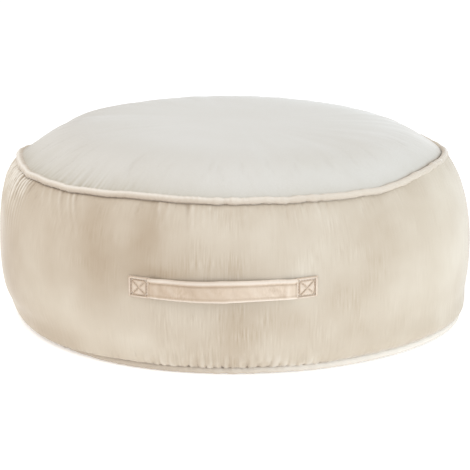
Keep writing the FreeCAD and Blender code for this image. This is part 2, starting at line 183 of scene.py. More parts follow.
def capped_tube(rows, ring, first):
    """Faces of a closed tube: quads between its rings of points, and a cap at each end."""
    last = first + (rows - 1) * ring
    caps = [tuple(range(first, first + ring))[::-1], tuple(range(last, last + ring))]
    return grid_faces(rows, ring, closed_columns=True, first=first) + caps


def fan(hub, first, columns):
    """Triangles from a hub to a closed ring of points."""
    return [(hub, first + (j + 1) % columns, first + j) for j in range(columns)]


def flipped(faces):
    """The same faces, looked at from their other side."""
    return [face[::-1] for face in faces]


def xyz(angle, r, z):
    """Points from their directions, radii and heights."""
    turn = np.radians(angle)
    return np.stack([r * np.cos(turn), r * np.sin(turn), z], -1)


def unit(vectors):
    """Vectors of length 1 that point the same ways."""
    return vectors / np.linalg.norm(vectors, axis=-1, keepdims=True)


def distances(points):
    """How far each point of a line is from its first point, along the line."""
    steps = np.linalg.norm(np.diff(points, axis=0), axis=1)
    return np.concatenate([[0], np.cumsum(steps)])


def all_round(line, columns=AROUND):
    """The two coordinates of each point of a line, repeated for every direction."""
    return (np.repeat(line[:, k:k + 1], columns, 1) for k in (0, 1))


def disc(name, points, faces_up):
    """Round sheet from rings of points, the smallest first, with a fan that closes its middle."""
    rings, columns = points.shape[:2]
    hub = rings * columns
    vertices = np.concatenate([points.reshape(-1, 3), [[0, 0, points[0, :, 2].mean()]]])
    faces = grid_faces(rings, columns, closed_columns=True) + fan(hub, 0, columns)
    return new_object(name, vertices, flipped(faces) if faces_up else faces)


def mark(obj, name, values):
    """Stores a number at each vertex for the shader."""
    attribute = obj.data.attributes.new(name, "FLOAT", "POINT")
    attribute.data.foreach_set("value", np.asarray(values, dtype=np.float32).ravel())


def mark_place(obj, values):
    """Stores where each vertex lies on the flat cloth, in metres, for the shader's streaks."""
    attribute = obj.data.attributes.new("cloth_place", "FLOAT_VECTOR", "POINT")
    attribute.data.foreach_set("vector", (np.asarray(values) * MM).astype(np.float32).ravel())


def blobs(spots):
    """Function of direction and height that adds up soft spots. Each is a direction, a height, a width in
    degrees, a height of the spot in millimetres, and an amount."""
    def amount(angle, height):
        total = 0.0
        for middle, at, wide, high, much in spots:
            away = turn_from(angle, middle)
            total = total + much * np.exp(-(away / wide) ** 2 - ((height - at) / high) ** 2)
        return total
    return amount


def thicken(obj):
    """Gives a sheet of velvet its thickness, inwards."""
    cloth = obj.modifiers.new("cloth_thickness", "SOLIDIFY")
    cloth.thickness = VELVET * MM
    cloth.offset = -1


def place(obj, body, slot, *nodes):
    """Rides a piece on its body, if it has only one, gives it its material and hides the CAD nodes that it
    stands for.
    """
    if body:
        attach(obj, body)
    obj.data.materials.clear()
    obj.data.materials.append(MATERIALS[slot])
    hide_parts(*nodes)
    return obj


# ---- the cover's shape ----
TOP_EDGE = (TOP_SEAM_R - 0.5 * PIPING_R, TOP_SEAM_Z + 0.6 * PIPING_R)
UPPER_EDGE = (TOP_SEAM_R + 0.3 * PIPING_R, TOP_SEAM_Z - PIPING_R)
LOWER_EDGE = (BOTTOM_SEAM_R + 0.3 * PIPING_R, 2 * PIPING_R)
TOP_CURVE = bezier(((0, CROWN_Z), (218, CROWN_Z), (TOP_EDGE[0] - 62, CROWN_Z + 3), TOP_EDGE))
UPPER_CURVE = bezier(((GREATEST_R, WIDEST_Z), (GREATEST_R, WIDEST_Z + 56),
                      (UPPER_EDGE[0] + 16.8, UPPER_EDGE[1] - 9.7), UPPER_EDGE))
LOWER_CURVE = bezier(((GREATEST_R, WIDEST_Z), (GREATEST_R, WIDEST_Z - 46.9),
                      (LOWER_EDGE[0] + 13.5, LOWER_EDGE[1] + 2.4), LOWER_EDGE))
SIDE_CURVE = np.concatenate([LOWER_CURVE[::-1], UPPER_CURVE[1:]])

# How the seams wander from true circles: height and radius, in millimetres, at a few directions.
top_seam_lift = around([(0, 3), (12, -2), (30, -4), (60, -3), (90, -1), (120, -2), (145, -5), (160, -8.5),
                        (168, -9), (175, -5), (181, -1.5), (190, -2), (199, -6.5), (213, -6.5),
                        (221, -6.5), (232, -5), (240, -2.5), (248, 0), (262, -1.6), (290, -1.2),
                        (305, -2), (316, -1), (326, 5), (337, 8.5), (350, 7.5)], 3.0)
top_seam_out = around([(0, -2.5), (90, 0), (150, 3), (170, 2.5), (183, 6), (205, 5), (230, 2), (260, 0),
                       (320, 0)])
bottom_seam_lift = around([(0, 1), (30, 0), (90, 0), (262, 0), (300, 0.6), (340, 1.5)])
bottom_seam_out = around([(0, 9), (25, 2), (90, 0), (180, -3), (200, -8), (225, -7), (238, -1), (250, 0),
                          (275, 0), (305, 2), (325, 6), (345, 11)])
# How far the side stands out low down, and how far it hangs down over the bottom piping.
belly = around([(0, 0), (90, -1), (150, 0), (180, 0), (195, -1), (205, -4), (214, -5), (224, -4), (234, -2),
                (245, 0), (270, 0), (290, 2), (305, 3), (320, 4), (335, 2), (345, 0)], 8.0)
droop = around([(0, 0), (40, 0.5), (120, 1), (180, 2), (198, 7), (215, 10), (228, 9), (238, 5), (250, 1.6),
                (270, 1.2), (290, 1.2), (300, 0), (330, -0.5)])
# How far the top piping rolls outwards and down, or inwards where this is negative.
roll = around([(0, 1), (45, 0.5), (100, 0), (145, 0.6), (155, 1.6), (165, 1.4), (174, 0), (182, -0.6),
               (210, -1), (290, -0.8), (310, 0), (330, 1)], 8.0)
seam_wobble = waves(70, spread=0.6)


def seam_point(angle, top):
    """Radius and height of a piping's centre."""
    if top:
        wobble = 0.3 * seam_wobble(angle, 0) - 1.8 * hill(angle, 204, 2.6)
        return TOP_SEAM_R + top_seam_out(angle), TOP_SEAM_Z + top_seam_lift(angle) + wobble
    wobble = 0.3 * np.abs(seam_wobble(angle, 40))
    return BOTTOM_SEAM_R + bottom_seam_out(angle), PIPING_R + bottom_seam_lift(angle) + wobble


def resampled(points, spacing_near, spacing_far, near_start, near_end, reach=45.0):
    """A line of points with fine steps near its chosen ends: points, and their distances along the line."""
    length = distances(points)
    total = length[-1]
    stations, s = [0.0], 0.0
    while s < total:
        gap = min(s if near_start else 1e9, total - s if near_end else 1e9)
        s += spacing_near + (spacing_far - spacing_near) * smoothstep(gap, 0, reach)
        stations.append(s)
    stations = np.array(stations) * total / stations[-1]
    line = np.stack([np.interp(stations, length, points[:, k]) for k in (0, 1)], 1)
    return line, stations


def line_normals(line, flip):
    """Unit normals of a line, in radius and height."""
    way = unit(np.gradient(line, axis=0))
    return np.stack([-way[:, 1], way[:, 0]], 1) * flip


# ---- wrinkles ----
fine, finer = waves(24, slant=0.008), waves(15, slant=0.015)
broad = waves(52, slant=0.012)
grain = waves(9, slant=0.05, count=30)
tucks = waves(21, spread=0.25, slant=0.03)

# How strong each kind of wrinkle is at a few directions. Gathers are small and pleats and tucks are deep.
top_gather = around([(0, 0.35), (60, 0.45), (130, 0.5), (165, 0.5), (178, 0.4), (203, 0.3), (210, 0.4),
                     (218, 0.4), (228, 0.2), (245, 0.35), (256, 0.7), (266, 0.3), (280, 0.45), (292, 0.6),
                     (302, 0.4), (325, 0.12)], 4.0)
top_pleats = around([(0, 0), (100, 0), (120, 0.35), (150, 0.1), (172, 0.4), (186, 0.8), (193, 1.0),
                     (204, 1.0), (209, 0.5), (213, 0), (300, 0)], 2.0)
bottom_gather = around([(0, 0.2), (60, 0.5), (120, 0.6), (180, 0.3), (225, 0.15), (244, 0.35), (300, 0.35),
                        (320, 0.1)], 4.0)
bottom_tucks = around([(0, 0), (30, 0.5), (60, 0), (110, 0.7), (150, 0), (240, 0), (249, 0.5), (256, 0.9),
                       (272, 0.9), (280, 1.1), (290, 0.95), (296, 0.35), (303, 0)], 2.0)
top_puckers = around([(0, 0.4), (60, 0.5), (120, 0.3), (170, 0.5), (198, 0.7), (215, 1.3), (238, 1.3),
                      (250, 0.6), (275, 0.25), (300, 0.2), (330, 0.2)])
# how strongly the pleats at the left are painted: darker in their creases, paler on their ridges
pleat_painted_shading = around([(0, 0), (170, 0.1), (186, 0.35), (193, 1.0), (207, 1.0), (213, 0)], 3.0)

PLEAT_PITCH = 9.0
PUCKER_SLANT = 0.13      # degrees of turn for each millimetre down, at the left of the front
# Single puckers left of the front: direction, width in degrees, and height, negative for a crease.
PUCKERS = (
    (215.6, 0.5, 0.4), (219.0, 0.5, 0.5), (220.1, 0.5, -0.4), (222.8, 0.45, 0.9), (223.9, 0.5, -0.6),
    (226.3, 0.4, 0.8), (227.2, 0.4, -0.6), (228.2, 0.45, 0.9), (229.2, 0.5, -0.6), (231.5, 0.5, 0.3),
    (252.5, 0.6, -0.4), (254.0, 0.5, 0.5), (261.0, 0.5, -0.5), (262.4, 0.5, 0.5), (268.2, 0.5, -0.3),
)


def pleats(angle, distance):
    """Close parallel pleats, of slightly uneven width and height."""
    arc = np.radians(angle) * GREATEST_R - 0.06 * distance
    phase = 2 * math.pi * arc / PLEAT_PITCH + 0.7 * np.sin(arc / 9.3) + 0.4 * np.sin(arc / 4.1)
    return (0.85 + 0.25 * np.sin(arc / 6.7)) * np.cos(phase)


def short_puckers(angle, distance):
    """Single puckers that run down from the top seam and fade away."""
    total = 0.0
    for middle, wide, much in PUCKERS:
        lean = PUCKER_SLANT * distance * np.cos(np.radians(angle)) / math.cos(math.radians(223))
        total = total + much * hill(angle - middle - lean, 0, wide)
    return total * np.exp(-(distance / 26) ** 1.5)


def gathers(angle, distance, strength, reach):
    """Height of the puckers that a seam leaves in the cloth. With distance they widen and fade away."""
    near = lobes(finer(angle, distance)) * np.exp(-distance / (0.45 * reach))
    middle = lobes(fine(angle, distance)) * 1.3 * np.exp(-distance / reach)
    far = broad(angle, distance) * 0.35 * np.exp(-distance / (2.2 * reach))
    return strength * (near * 0.5 + middle + far)


def side_gathers(angle, from_top, from_low):
    """The puckers of the side: small ones everywhere, deep pleats at the left, and tucks low at the front."""
    total = gathers(angle, from_top, top_gather(angle), 20)
    # the bottom seam's gathers are the same waves, turned so that they don't repeat the top seam's
    total = total + gathers(angle + 77, from_low, bottom_gather(angle), 15)
    total = total + 0.6 * short_puckers(angle, from_top)
    fade = np.exp(-(from_top / 38) ** 1.6) * smoothstep(from_top, -8, 6)
    total = total + 2.6 * top_pleats(angle) * pleats(angle, from_top) * fade
    fade = np.exp(-(from_low / 20) ** 1.3)
    return total + 2.2 * bottom_tucks(angle) * lobes(tucks(angle, from_low)) * fade


# ---- cloth simulation ----
CLOTH_FRAMES = 20
CLOTH_CAP = 8.0                            # the furthest that a point may move
TAUT_LEVELS = 40                           # steps in which the cloth goes from slack to taut
SEWN_HALF_LENGTH, SEWN_HALF_HEIGHT = 14, 17  # what a sewn end of the strap holds, from its middle
ZIP_HALF_HEIGHT = 7                        # and what the zip holds


def settle(rest, held, fullness):
    """Simulates a ring of cloth that is blown up from behind and held at some of its points. Fullness is
    the spare cloth, as a share of each length, which buckles into puckers. Returns how far each point
    moves."""
    rows, columns = rest.shape[:2]
    sheet = new_object("cloth_trial", rest.reshape(-1, 3), grid_faces(rows, columns, closed_columns=True))
    hold = sheet.vertex_groups.new(name="held")
    hold.add([int(i) for i in np.flatnonzero(held.ravel())], 1.0, "REPLACE")
    taut = sheet.vertex_groups.new(name="taut")
    most = float(fullness.max())
    levels = np.round((1 - fullness.ravel() / most) * TAUT_LEVELS)
    for level in np.unique(levels):
        taut.add([int(i) for i in np.flatnonzero(levels == level)], level / TAUT_LEVELS, "REPLACE")
    cloth = sheet.modifiers.new("cloth", "CLOTH")
    settings = cloth.settings
    settings.quality = 4
    settings.mass = 0.01
    settings.tension_stiffness = 25
    settings.compression_stiffness = 25
    settings.shear_stiffness = 12
    settings.bending_stiffness = 0.05
    settings.air_damping = 2
    settings.use_pressure = True
    settings.uniform_pressure_force = 4
    settings.effector_weights.gravity = 0
    settings.vertex_group_mass = "held"
    settings.vertex_group_shrink = "taut"
    settings.shrink_min = -most
    settings.shrink_max = 0
    scene = bpy.context.scene
    for step in range(1, CLOTH_FRAMES + 1):
        scene.frame_set(step)
    settled = sheet.evaluated_get(bpy.context.evaluated_depsgraph_get()).to_mesh()
    moved = np.empty(rows * columns * 3)
    settled.vertices.foreach_get("co", moved)
    scene.frame_set(1)
    bpy.data.objects.remove(sheet)
    moved = moved.reshape(rows, columns, 3) / MM - rest
    size = np.linalg.norm(moved, axis=-1, keepdims=True)
    return moved * np.minimum(1, CLOTH_CAP / np.maximum(size, 1e-6))


def read_out(field, along, distance, angle):
    """A simulated field, whose rows lie at distances along, at any distances and directions."""
    rows, columns = field.shape
    row = np.interp(distance, along, np.arange(rows))
    column = angle % 360 / 360 * columns
    i, j = np.floor(row).astype(int), np.floor(column).astype(int)
    i = np.clip(i, 0, rows - 2)
    u, v = row - i, column - j
    j, k = j % columns, (j + 1) % columns
    return (field[i, j] * (1 - u) * (1 - v) + field[i + 1, j] * u * (1 - v)
            + field[i, k] * (1 - u) * v + field[i + 1, k] * u * v)


def puckers_of(rest, held, fullness):
    """What the simulation adds to a piece's shape, measured outwards: its puckers without the even
    swelling, which the piece's own outline already has."""
    around_it = np.roll(rest, -1, 1) - np.roll(rest, 1, 1)
    along_it = np.gradient(rest, axis=0)
    outwards = unit(np.cross(around_it, along_it))
    lift = (settle(rest, held, fullness) * outwards).sum(-1)
    return lift - blurred(lift, 9.0)


# ---- how the pile lies, and painted light and shade ----
# Where the pile is brushed down it looks tan, and where it is brushed up it looks pale. The pale spots low at
# the left front are painted light, standing for light thrown up by the floor.
pile_lies_and_painted_light = blobs([
    (236, 178, 8, 34, -0.5), (228, 62, 14, 34, 0.5), (204, 120, 8, 60, -0.45), (252, 176, 4, 40, -0.6),
    (257, 124, 6, 11, -0.8), (256, 58, 3, 30, -0.3), (267, 158, 5, 40, 0.1), (266, 60, 4, 36, 0.25),
    (273, 52, 3, 40, -0.2), (289, 120, 7, 60, 0.15), (304, 150, 7, 60, -0.35), (306, 70, 6, 30, -0.05),
    (294, 44, 6, 20, 0.2), (251, 36, 7, 22, 0.55), (215, 190, 9, 40, -0.45), (222, 128, 9, 34, -0.2),
    (241, 130, 6, 40, -0.3), (252, 150, 8, 36, -0.3), (262, 140, 6, 30, -0.45), (270, 140, 6, 30, -0.35),
    (330, 150, 12, 90, 0.3), (318, 60, 10, 40, 0.2), (345, 120, 16, 90, 0.35), (20, 150, 12, 40, -0.4),
    (48, 60, 14, 36, 0.4), (80, 170, 10, 30, -0.3), (112, 50, 16, 34, 0.35), (140, 150, 12, 50, -0.35),
    (165, 70, 12, 40, 0.3),
])
pile_crushed = blobs([
    (268, 150, 7, 60, 0.9), (272, 55, 16, 45, 1.0), (292, 160, 8, 50, 0.6), (305, 90, 9, 60, 0.35),
    (236, 150, 16, 50, 0.25), (30, 120, 25, 60, 0.5), (110, 150, 20, 50, 0.6), (150, 60, 18, 40, 0.5),
])
# How much painted shade darkens the rim of the top, where it curves down and its sheen is weaker; how
# strongly painted highlight and painted shade mark the top piping; and the painted light on the bottom
# piping, which is painted shade where it is negative.
rim_painted_shade = around([(0, 0.3), (90, 0.5), (160, 0.6), (195, 0.9), (235, 1.0), (262, 0.6), (300, 0.5),
                  (340, 0.4)], 6.0)
piping_contrast = around([(0, 0.5), (90, 0.7), (180, 1.0), (240, 0.9), (270, 0.6), (290, 0.3), (320, 0.15),
                          (345, 0.15)], 8.0)
low_piping_painted_light = around([(0, 0.6), (60, 0.3), (120, 0.0), (190, -0.3), (225, -0.1), (258, 0.0),
                          (275, 0.2), (290, 0.6), (320, 0.9)], 6.0)


# ---- cover pieces ----
def cloth_puckers(line, start, held_points, full_low, full_high, seed):
    """Simulated puckers of a ring of cloth, on CLOTH_COLUMNS columns, with rows that follow the line. Start
    is the slight unevenness that the puckers grow from, and full_low and full_high say how full the cloth
    is at its two edges, by direction. Returns the puckers, and each row's distance along the line."""
    angle, along = np.meshgrid(directions(CLOTH_COLUMNS), distances(line))
    base_r, base_z = all_round(line, CLOTH_COLUMNS)
    held = held_points(angle, base_z)
    held[[0, -1]] = True
    rough = np.random.default_rng(seed).normal(0, 0.12, angle.shape) + start(angle, along)
    rest = xyz(angle, base_r + rough * ~held, base_z)
    fullness = 0.0005 + full_low(angle) * np.exp(-(along / 34) ** 1.5)
    fullness = fullness + full_high(angle) * np.exp(-((along[-1] - along) / 40) ** 1.5)
    return puckers_of(rest, held, fullness), along[:, 0]


def side_cloth(angle, from_low):
    """Puckers of the side, held at both seams, at the zip and under the sewn ends of the handle."""
    line, _ = resampled(SIDE_CURVE, 4.4, 4.6, True, True)
    total = distances(line)[-1]

    def held(angle, height):
        across = GREATEST_R * np.cos(np.radians(angle))
        sewn = np.abs(np.abs(across) - END_MIDDLE) < SEWN_HALF_LENGTH
        sewn &= (np.abs(height - STRAP_Z) < SEWN_HALF_HEIGHT) & (np.sin(np.radians(angle)) < 0)
        at_zip = np.abs(height - WIDEST_Z) < ZIP_HALF_HEIGHT
        at_zip &= np.abs(turn_from(angle, 90)) < REAR_ARC / 2
        return sewn | at_zip

    def start(angle, along):
        pleated = 0.5 * top_pleats(angle) * pleats(angle, total - along) * np.exp(-(total - along) / 30)
        return pleated + 0.4 * bottom_tucks(angle) * lobes(tucks(angle, along)) * np.exp(-along / 20)

    def full_low(angle):
        return 0.001 + 0.007 * bottom_gather(angle) + 0.014 * bottom_tucks(angle)

    def full_high(angle):
        return 0.001 + 0.009 * top_gather(angle) + 0.016 * top_pleats(angle)

    return read_out(*cloth_puckers(line, start, held, full_low, full_high, seed=7), from_low, angle)


def top_cloth(angle, from_edge):
    """Puckers of the outer ring of the top panel, held at its seam and at its flat middle."""
    line, _ = resampled(TOP_CURVE[TOP_CURVE[:, 0] > 120][::-1], 4.2, 5.5, True, False)
    puckers = cloth_puckers(line, lambda angle, along: 0.0, lambda angle, height: np.zeros(angle.shape, bool),
                            lambda angle: 0.0005 + 0.003 * top_puckers(angle), lambda angle: 0.0, seed=11)
    return read_out(*puckers, from_edge, angle)


def side_field():
    """The whole side, in rows from the bottom seam to the top seam: its points, the plain outline that each
    row started from, and its marks."""
    spacing = ((2.2, 4.5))
    line, s = resampled(SIDE_CURVE, *spacing, True, True)
    total = s[-1]
    # two rows lie exactly on the edges of the zip's opening
    for edge in ZIP_SLOT:
        row = np.argmin(np.abs(line[:, 1] - edge))
        s[row] = np.interp(edge, line[:, 1], s)
        line[row, 0] = np.interp(edge, line[:, 1], line[:, 0])
        line[row, 1] = edge
    angle, from_low = np.meshgrid(directions(AROUND), s)
    from_top = total - from_low
    base_r, base_z = all_round(line)
    normal_r, normal_z = all_round(line_normals(line, -1))
    top_share = smoothstep(from_low, 0.45 * total, total)
    low_share = 1 - smoothstep(from_low, 0, 0.2 * total)
    top_r, top_z = seam_point(angle, True)
    low_r, low_z = seam_point(angle, False)
    r = base_r + top_share * (top_r - TOP_SEAM_R) + low_share * (low_r - BOTTOM_SEAM_R)
    z = base_z + top_share * (top_z - TOP_SEAM_Z) + low_share * (low_z - PIPING_R)
    r = r + belly(angle) * hill(base_z, 26, 24) * smoothstep(from_low, 0, 14)
    # low at the left the cloth hangs over its piping
    overhang = droop(angle) * hill(from_low, 12, 9)
    r, z = r + 0.25 * overhang, z - overhang
    # the cloth meets the piping low down at the left and high up at the right
    tuck, turn = np.exp(-from_top / 5), roll(angle)
    r = r + tuck * np.where(turn > 0, 3.2, 0.2) * turn
    z = z + tuck * np.where(turn > 0, 2.6, -0.4) * turn
    lift = side_gathers(angle, from_top, from_low)
    lift = lift + side_cloth(angle, from_low)
    lift = lift + 0.12 * grain(angle, from_low) * (np.exp(-from_top / 30) + np.exp(-from_low / 30))
    lift = lift * (1 - zip_hold(angle, base_z))
    r, z = r + normal_r * lift, z + normal_z * lift
    low_rows = hidden_rows(low_r[0], low_z[0], 95, 115)[:, ::-1]
    top_rows = hidden_rows(top_r[-1], top_z[-1], -95, -120)
    r, z = np.concatenate([low_rows, [r, z], top_rows], axis=1)
    marks = side_marks(angle, base_z, from_top, from_low, lift)
    line = np.pad(line, ((2, 2), (0, 0)), mode="edge")
    marks = np.pad(marks, ((2, 2), (0, 0), (0, 0)), mode="edge")
    return xyz(directions(AROUND), r, z), line, marks


def hidden_rows(r, z, *turns):
    """Two rows that carry the cloth on into a piping, whose centre is at r and z, so that no gap shows."""
    depth = PIPING_R * np.array([[0.8], [0.45]])
    way = np.radians(turns)[:, None]
    return np.array([r + depth * np.cos(way), z + depth * np.sin(way)])


def side_marks(angle, height, from_top, from_low, lift):
    """What the shader reads at each point of the side: its creases, with painted shade in them and painted
    highlight on the ridges between them, how its pile lies and is crushed, with painted light low at the left
    front, and its place on the flat cloth."""
    # painted shade in the side's creases and painted highlight on its ridges, stronger at the pleats on the
    # left and at the single puckers
    creases = np.sign(lift) * np.maximum(0, np.abs(lift) - 0.35)
    painted_shading = pleat_painted_shading(angle) * np.exp(-from_top / 40)
    creases = np.clip(creases * (1 + 3.2 * painted_shading), -1.0 - 2.2 * painted_shading, 1.2 + 1.8 * painted_shading)
    creases = creases + short_puckers(angle, from_top)
    # the deep shade of each seam, where the cloth turns in under its piping
    creases = creases - 0.6 * hill(from_top, 0, 1.8) * piping_contrast(angle)
    creases = creases - 2.6 * hill(from_low, 0, 2.6) * np.maximum(0, 0.3 - low_piping_painted_light(angle))
    place_on_cloth = (np.radians(angle) * GREATEST_R, from_low, np.zeros_like(from_low))
    return np.stack([creases, pile_lies_and_painted_light(angle, height), pile_crushed(angle, height), *place_on_cloth], -1)


def zip_hold(angle, height):
    """1 where the zip keeps the rear of the side in its place."""
    return smoothstep(-np.abs(turn_from(angle, 90)), -82, -74) * np.exp(-((height - WIDEST_Z) / 16) ** 4)


def side_pieces():
    """The front of the side, and its two rear pieces above and below the zip."""
    points, line, marks = side_field()
    lower_slot, upper_slot = (int(np.argmin(np.abs(line[:, 1] - edge))) for edge in ZIP_SLOT)
    first = int(round((90 - REAR_ARC / 2) / 360 * AROUND))
    last = int(round((90 + REAR_ARC / 2) / 360 * AROUND))
    rear = list(range(first, last + 1))
    front = [column % AROUND for column in range(last, first + AROUND + 1)]

    def cut(name, rows, columns, hem_low=False, hem_high=False):
        block, notes = tuck_edges(points[rows][:, columns], marks[rows][:, columns], hem_low, hem_high)
        obj = new_object(name, block.reshape(-1, 3), grid_faces(*block.shape[:2]), on_floor=True)
        for k, word in enumerate(("fold", "nap_and_painted_light", "crushed")):
            mark(obj, word, notes[..., k])
        mark_place(obj, notes[..., 3:].reshape(-1, 3))
        return obj

    return (
        cut("cover_side_front", slice(None), front),
        cut("cover_side_rear_upper", slice(upper_slot, None), rear, hem_low=True),
        cut("cover_side_rear_lower", slice(lower_slot + 1), rear, hem_high=True),
    )


def tuck_edges(block, marks, hem_low, hem_high):
    """Rolls the upright edges, and a hemmed edge, inwards so that seams read as seams."""
    centre = block.copy()
    centre[..., :2] = 0
    outwards = unit(block - centre)
    columns = block.shape[1]
    step = np.linalg.norm(block[0, 1] - block[0, 0])
    from_edge = np.minimum(np.arange(columns), np.arange(columns)[::-1]) * step
    depth = 2.2 * np.exp(-(from_edge / 3.0) ** 1.5)
    block = block - outwards * depth[None, :, None]
    for used, row, beyond in ((hem_low, 0, 1), (hem_high, -1, -2)):
        if not used:
            continue
        edge = block[row]
        away = unit(block[beyond] - edge)
        inwards = -outwards[row]
        fold = np.stack([
            edge + inwards * 0.5 - away * 0.35,
            edge + inwards * 1.3 - away * 0.3,
            edge + inwards * 2.2 + away * 0.6,
        ])
        block = np.concatenate([fold[::-1], block] if row == 0 else [block, fold])
        more = np.repeat(marks[row][None], 3, 0)
        marks = np.concatenate([more, marks] if row == 0 else [marks, more])
    return block, marks


def top_piece():
    """The top panel: a low crown, drawn down to its piping."""
    spacing = ((2.2, 8.0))
    line, s = resampled(TOP_CURVE, *spacing, False, True, reach=90.0)
    line, s = line[2:], s[2:]    # the disc's fan takes the middle
    angle, from_middle = np.meshgrid(directions(AROUND), s)
    from_edge = s[-1] - from_middle
    base_r, base_z = all_round(line)
    normal_r, normal_z = all_round(line_normals(line, 1))
    share = (base_r / TOP_EDGE[0]) ** 3
    top_r, top_z = seam_point(angle, True)
    r = base_r * (1 + share * (top_r / TOP_SEAM_R - 1))
    z = base_z + share * (top_z - TOP_SEAM_Z)
    # the crown leans a little to the left
    z = z - 4.0 * (base_r / GREATEST_R) * np.cos(np.radians(angle)) * (1 - share)
    # and bulges over the seam's low place at the rear left
    z = z + 4.0 * hill(base_r, 232, 26) * hill(angle, 155, 20)
    tuck, turn = np.exp(-from_edge / 7), roll(angle)
    r = r - tuck * np.where(turn > 0, 1.6, 0.2) * turn
    z = z - tuck * np.where(turn > 0, 2.4, 0.6) * turn
    lift = gathers(angle + 31, from_edge, 0.1 + 0.35 * top_puckers(angle), 6)
    lift = lift + smoothstep(base_r, 185, 230) * top_cloth(angle, from_edge)
    # painted shade in the panel's puckers and painted highlight on their ridges
    creases = np.clip(lift, -0.9, 0.9)
    lift = lift + 0.25 * dents(base_r, angle)
    r, z = r + normal_r * lift, z + normal_z * lift
    obj = disc("cover_top", xyz(directions(AROUND), r, z), faces_up=True)
    # painted shade at the rim of the top, where the panel curves down and its sheen is weaker
    rim_shade = -rim_painted_shade(angle) * np.exp(-(from_edge / (6 + 14 * rim_painted_shade(angle))) ** 1.3)
    # short streaks across the rim, left of the front: painted shade of small puckers
    streaks = 0.2 * finer(angle + 50, from_edge) + 0.2 * grain(angle, from_edge)
    rim_shade = rim_shade * (1 + hill(angle, 222, 26) * streaks)
    mark(obj, "fold", np.append(creases.ravel(), 0))
    mark(obj, "nap_and_painted_light", np.append(rim_shade.ravel(), 0))
    return obj


def dents(r, angle):
    """Slow unevenness of the filling."""
    x, y = r * np.cos(np.radians(angle)), r * np.sin(np.radians(angle))
    total = 0.0
    for size, phase, heading in ((150, 0.4, 0.3), (110, 2.1, 1.9), (90, 4.0, 2.8), (75, 1.2, 1.1)):
        total = total + np.cos((x * math.cos(heading) + y * math.sin(heading)) / size * 2 * math.pi + phase)
    return total / 4


def bottom_piece():
    """The underside: flat just above the floor, with a rim that rises to its piping."""
    flat_r, flat_z = BOTTOM_SEAM_R - 22, 0.15
    edge = (BOTTOM_SEAM_R - 3.9, PIPING_R - 1.1)
    rise = bezier(((flat_r, flat_z), (flat_r + 8, flat_z), (edge[0] - 6, edge[1] - 1.2), edge), 20)
    flat = np.stack([np.linspace(0, flat_r, 30), np.full(30, flat_z)], 1)
    spacing = ((2.4, 10.0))
    line, s = resampled(np.concatenate([flat[:-1], rise]), *spacing, False, True, reach=60.0)
    line, s = line[2:], s[2:]    # the disc's fan takes the middle
    angle, from_middle = np.meshgrid(directions(AROUND), s)
    from_edge = s[-1] - from_middle
    base_r, base_z = all_round(line)
    low_r, low_z = seam_point(angle, False)
    share = smoothstep(base_r, BOTTOM_SEAM_R - 70, BOTTOM_SEAM_R)
    r = base_r + share * (low_r - BOTTOM_SEAM_R)
    z = base_z + share * (low_z - PIPING_R)
    lift = gathers(angle + 140, from_edge, 0.35, 12)
    z = np.maximum(z + np.abs(lift) * smoothstep(from_edge, 0, 3), FLOOR_GAP)
    return disc("cover_underside", xyz(directions(AROUND), r, z), faces_up=False)


def cord_in_piping(name, top):
    """Three-strand cord inside a piping."""
    columns, ring = AROUND // 2, 12
    angle, phi = np.meshgrid(directions(columns), np.radians(directions(ring)), indexing="ij")
    r0, z0 = piping_centre(angle, top)
    radius = 2.2 + 0.25 * np.cos(3 * phi - np.radians(angle) * 90)
    points = xyz(angle, r0 + radius * np.cos(phi), z0 + radius * np.sin(phi))
    return new_object(name, points.reshape(-1, 3), flipped(grid_faces(columns, ring, True, True)))


def piping_centre(angle, top):
    """Middle of the piping. Where the top piping rolls outwards it also drops a little."""
    r, z = seam_point(angle, top)
    if top:
        r, z = r + roll(angle), z - 1.2 * roll(angle)
    return r, z


def piping(name, top):
    """Corded tube that follows its seam, with the small twists of cloth cut on the bias."""
    columns = AROUND * 3 // 2
    ring = 24
    angle, phi = np.meshgrid(directions(columns), np.radians(directions(ring)), indexing="ij")
    r0, z0 = piping_centre(angle, top)
    twist = grain(angle, 12 * np.degrees(phi) / 60) * 0.09 + finer(angle, 9 * phi) * 0.10
    swell = 0.16 * fine(angle, 0) + (hill(angle, 193, 14) if top else 0.0)
    radius = PIPING_R + twist + swell
    points = xyz(angle, r0 + radius * np.cos(phi), z0 + radius * np.sin(phi)).reshape(-1, 3)
    obj = new_object(name, points, flipped(grid_faces(columns, ring, True, True)), on_floor=True)
    # painted highlight along the top of the piping, where light falls on it, and painted shade below it; the
    # bottom piping also gets its own painted light and shade round the cushion
    up = np.degrees(phi)
    painted_shading = hill(up, 58, 26) - 0.25 * hill(up, 350, 25)
    painted_shading = painted_shading - 0.25 * hill(up, -10, 25) - hill(up, 303, 20)
    mark(obj, "fold", painted_shading * piping_contrast(angle) if top else 0.3 * painted_shading + low_piping_painted_light(angle))
    return obj


# ---- handle ----
HANDLE_TILT = 0.012                             # its right-hand end is sewn on a little higher
STRAP_BEND = 206.5                              # radius of the strap's middle line, seen from above
STRAP_BEND_Y = -(STRAP_REACH + 2 - STRAP_BEND)  # and where that line's centre lies


def on_strap(x, depth, z):
    """Points of the strap, at a depth in front of its middle line."""
    slope, radius = np.arcsin(x / STRAP_BEND), STRAP_BEND + depth
    tilted = z + HANDLE_TILT * (x + END_OUT)
    return np.stack([radius * np.sin(slope), STRAP_BEND_Y - radius * np.cos(slope), tilted], -1)


